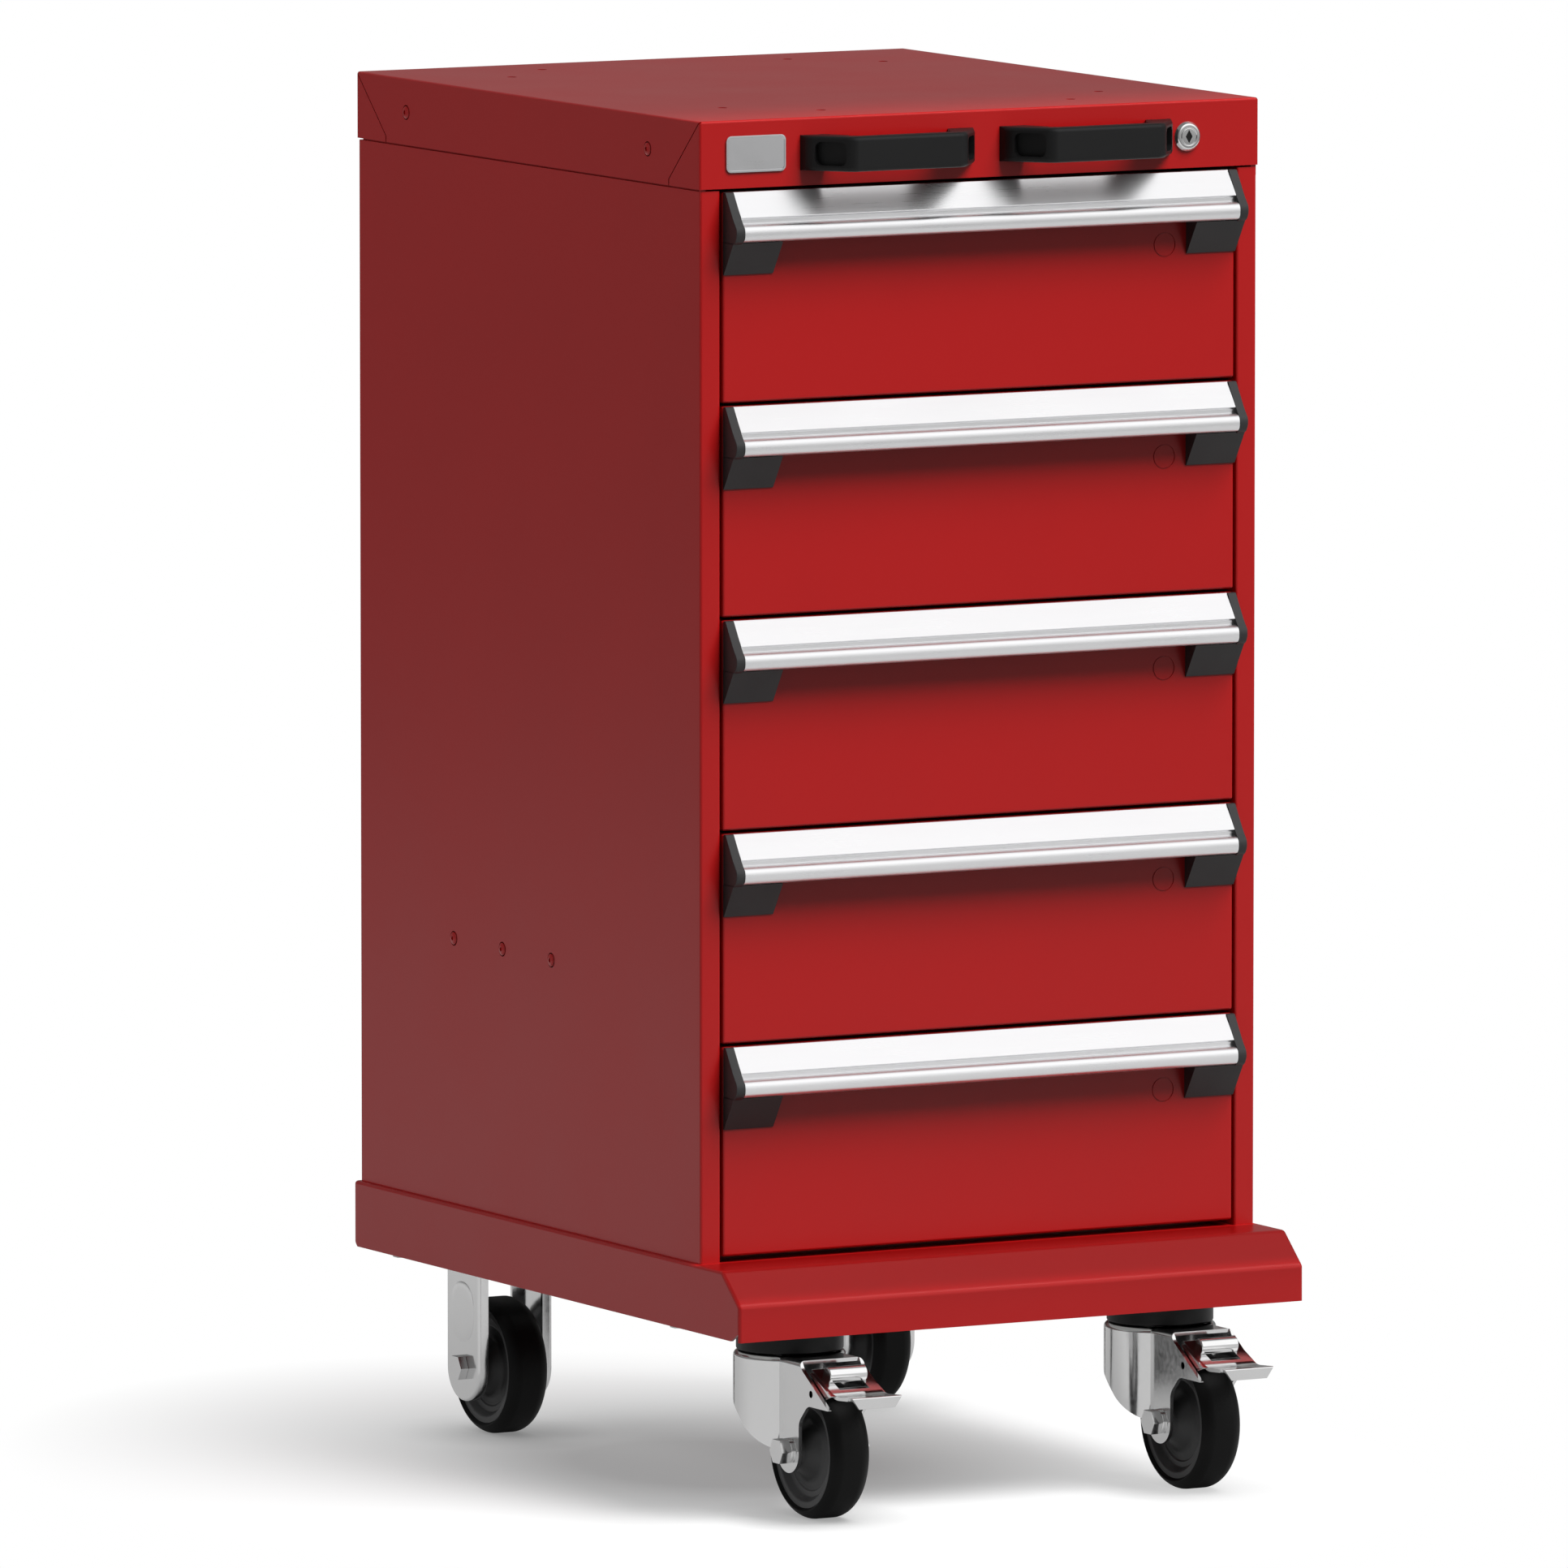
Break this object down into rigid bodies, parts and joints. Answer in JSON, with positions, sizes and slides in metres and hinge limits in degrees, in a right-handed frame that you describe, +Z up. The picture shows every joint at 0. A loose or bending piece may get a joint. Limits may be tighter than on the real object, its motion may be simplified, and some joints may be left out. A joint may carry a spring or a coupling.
{
  "type": "mobile drawer cabinet",
  "caption": "Red steel drawer cabinet on swivel and rigid casters, with full-width handle strips, a cam lock, push handles and a sloped base ledge.",
  "frame": {"origin": "on the floor, under the middle of the whole outline", "axes": "+Z up, -Y towards the drawer fronts, +X to the right seen from the front"},
  "size_m": [0.462, 0.6494, 0.9967],
  "materials": {
    "red_paint": "smooth satin powder coat",
    "zinc_steel": "zinc plated",
    "black_plastic": "fine moulded grain",
    "satin_plate": "satin",
    "lock_chrome": "polished",
    "fork_chrome": "bright zinc",
    "handle_aluminium": "satin anodised",
    "cap_plastic": "fine moulded grain",
    "wheel_plastic": "moulded",
    "tyre_rubber": "smooth rubber"
  },
  "bodies": {
    "cabinet": {"left_side_panel": "red_paint", "right_side_panel": "red_paint", "back_panel": "red_paint", "housing_floor": "red_paint", "top_cover": "red_paint", "base_pan": "red_paint", "caster_channels": "zinc_steel", "base_bolts": "zinc_steel", "push_handles": "black_plastic", "push_handle_screws": "zinc_steel", "panel_screws": "red_paint", "blank_plate": "satin_plate", "lock_housing": "lock_chrome", "cabinet_rails": "zinc_steel", "rear_forks": "fork_chrome", "rear_axles": "fork_chrome", "swivel_plates": "zinc_steel", "dust_rings": "black_plastic"},
    "drawer_1": {"drawer_1_box": "red_paint", "drawer_1_handle_strip": "handle_aluminium", "drawer_1_end_caps": "cap_plastic", "drawer_1_rails": "zinc_steel"},
    "carriage_1": {"drawer_1_carriages": "zinc_steel"},
    "drawer_2": {"drawer_2_box": "red_paint", "drawer_2_handle_strip": "handle_aluminium", "drawer_2_end_caps": "cap_plastic", "drawer_2_rails": "zinc_steel"},
    "carriage_2": {"drawer_2_carriages": "zinc_steel"},
    "drawer_3": {"drawer_3_box": "red_paint", "drawer_3_handle_strip": "handle_aluminium", "drawer_3_end_caps": "cap_plastic", "drawer_3_rails": "zinc_steel"},
    "carriage_3": {"drawer_3_carriages": "zinc_steel"},
    "drawer_4": {"drawer_4_box": "red_paint", "drawer_4_handle_strip": "handle_aluminium", "drawer_4_end_caps": "cap_plastic", "drawer_4_rails": "zinc_steel"},
    "carriage_4": {"drawer_4_carriages": "zinc_steel"},
    "drawer_5": {"drawer_5_box": "red_paint", "drawer_5_handle_strip": "handle_aluminium", "drawer_5_end_caps": "cap_plastic", "drawer_5_rails": "zinc_steel"},
    "carriage_5": {"drawer_5_carriages": "zinc_steel"},
    "lock_cylinder": {"lock_plug": "lock_chrome", "lock_cam": "zinc_steel"},
    "lock_bar": {"lock_bar": "zinc_steel"},
    "rear_left_wheel": {"rear_left_wheel_core": "wheel_plastic", "rear_left_tyre": "tyre_rubber"},
    "front_left_caster": {"front_left_fork": "fork_chrome", "front_left_axle": "fork_chrome"},
    "front_left_wheel": {"front_left_wheel_core": "wheel_plastic", "front_left_tyre": "tyre_rubber"},
    "front_left_pedal": {"front_left_brake_pedal": "fork_chrome"},
    "rear_right_wheel": {"rear_right_wheel_core": "wheel_plastic", "rear_right_tyre": "tyre_rubber"},
    "front_right_caster": {"front_right_fork": "fork_chrome", "front_right_axle": "fork_chrome"},
    "front_right_wheel": {"front_right_wheel_core": "wheel_plastic", "front_right_tyre": "tyre_rubber"},
    "front_right_pedal": {"front_right_brake_pedal": "fork_chrome"}
  },
  "joints": [
    {"name": "drawer_1_slide", "type": "slide", "parent": "cabinet", "child": "drawer_1", "axis": [0, -1, 0], "range_m": [0, 0.45]},
    {"name": "carriage_1_slide", "type": "slide", "parent": "cabinet", "child": "carriage_1", "axis": [0, -1, 0], "range_m": [0, 0.225]},
    {"name": "drawer_2_slide", "type": "slide", "parent": "cabinet", "child": "drawer_2", "axis": [0, -1, 0], "range_m": [0, 0.45]},
    {"name": "carriage_2_slide", "type": "slide", "parent": "cabinet", "child": "carriage_2", "axis": [0, -1, 0], "range_m": [0, 0.225]},
    {"name": "drawer_3_slide", "type": "slide", "parent": "cabinet", "child": "drawer_3", "axis": [0, -1, 0], "range_m": [0, 0.45]},
    {"name": "carriage_3_slide", "type": "slide", "parent": "cabinet", "child": "carriage_3", "axis": [0, -1, 0], "range_m": [0, 0.225]},
    {"name": "drawer_4_slide", "type": "slide", "parent": "cabinet", "child": "drawer_4", "axis": [0, -1, 0], "range_m": [0, 0.45]},
    {"name": "carriage_4_slide", "type": "slide", "parent": "cabinet", "child": "carriage_4", "axis": [0, -1, 0], "range_m": [0, 0.225]},
    {"name": "drawer_5_slide", "type": "slide", "parent": "cabinet", "child": "drawer_5", "axis": [0, -1, 0], "range_m": [0, 0.45]},
    {"name": "carriage_5_slide", "type": "slide", "parent": "cabinet", "child": "carriage_5", "axis": [0, -1, 0], "range_m": [0, 0.225]},
    {"name": "lock_bar_lift", "type": "slide", "parent": "cabinet", "child": "lock_bar", "axis": [0, 0, 1], "range_m": [0, 0.0141]},
    {"name": "lock_turn", "type": "hinge", "parent": "cabinet", "child": "lock_cylinder", "pos_m": [0.169, -0.2017, 0.971], "axis": [0, -1, 0], "range_deg": [0, 90]},
    {"name": "rear_left_wheel_turn", "type": "hinge", "parent": "cabinet", "child": "rear_left_wheel", "pos_m": [-0.152, 0.2463, 0.05], "axis": [1, 0, 0], "continuous": true},
    {"name": "front_left_swivel", "type": "hinge", "parent": "cabinet", "child": "front_left_caster", "pos_m": [-0.152, -0.1957, 0.116], "axis": [0, 0, 1], "continuous": true},
    {"name": "front_left_wheel_turn", "type": "hinge", "parent": "front_left_caster", "child": "front_left_wheel", "pos_m": [-0.152, -0.2397, 0.05], "axis": [1, 0, 0], "continuous": true},
    {"name": "front_left_pedal_press", "type": "hinge", "parent": "front_left_caster", "child": "front_left_pedal", "pos_m": [-0.152, -0.2737, 0.0945], "axis": [1, 0, 0], "range_deg": [0, 12]},
    {"name": "rear_right_wheel_turn", "type": "hinge", "parent": "cabinet", "child": "rear_right_wheel", "pos_m": [0.152, 0.2463, 0.05], "axis": [1, 0, 0], "continuous": true},
    {"name": "front_right_swivel", "type": "hinge", "parent": "cabinet", "child": "front_right_caster", "pos_m": [0.152, -0.1957, 0.116], "axis": [0, 0, 1], "continuous": true},
    {"name": "front_right_wheel_turn", "type": "hinge", "parent": "front_right_caster", "child": "front_right_wheel", "pos_m": [0.152, -0.2397, 0.05], "axis": [1, 0, 0], "continuous": true},
    {"name": "front_right_pedal_press", "type": "hinge", "parent": "front_right_caster", "child": "front_right_pedal", "pos_m": [0.152, -0.2737, 0.0945], "axis": [1, 0, 0], "range_deg": [0, 12]}
  ],
  "couplings": [
    {"joint": "carriage_1_slide", "follows": "drawer_1_slide", "ratio": 0.5},
    {"joint": "carriage_2_slide", "follows": "drawer_2_slide", "ratio": 0.5},
    {"joint": "carriage_3_slide", "follows": "drawer_3_slide", "ratio": 0.5},
    {"joint": "carriage_4_slide", "follows": "drawer_4_slide", "ratio": 0.5},
    {"joint": "carriage_5_slide", "follows": "drawer_5_slide", "ratio": 0.5},
    {"joint": "lock_turn", "follows": "lock_bar_lift", "rad_per_m": 111.07}
  ]
}
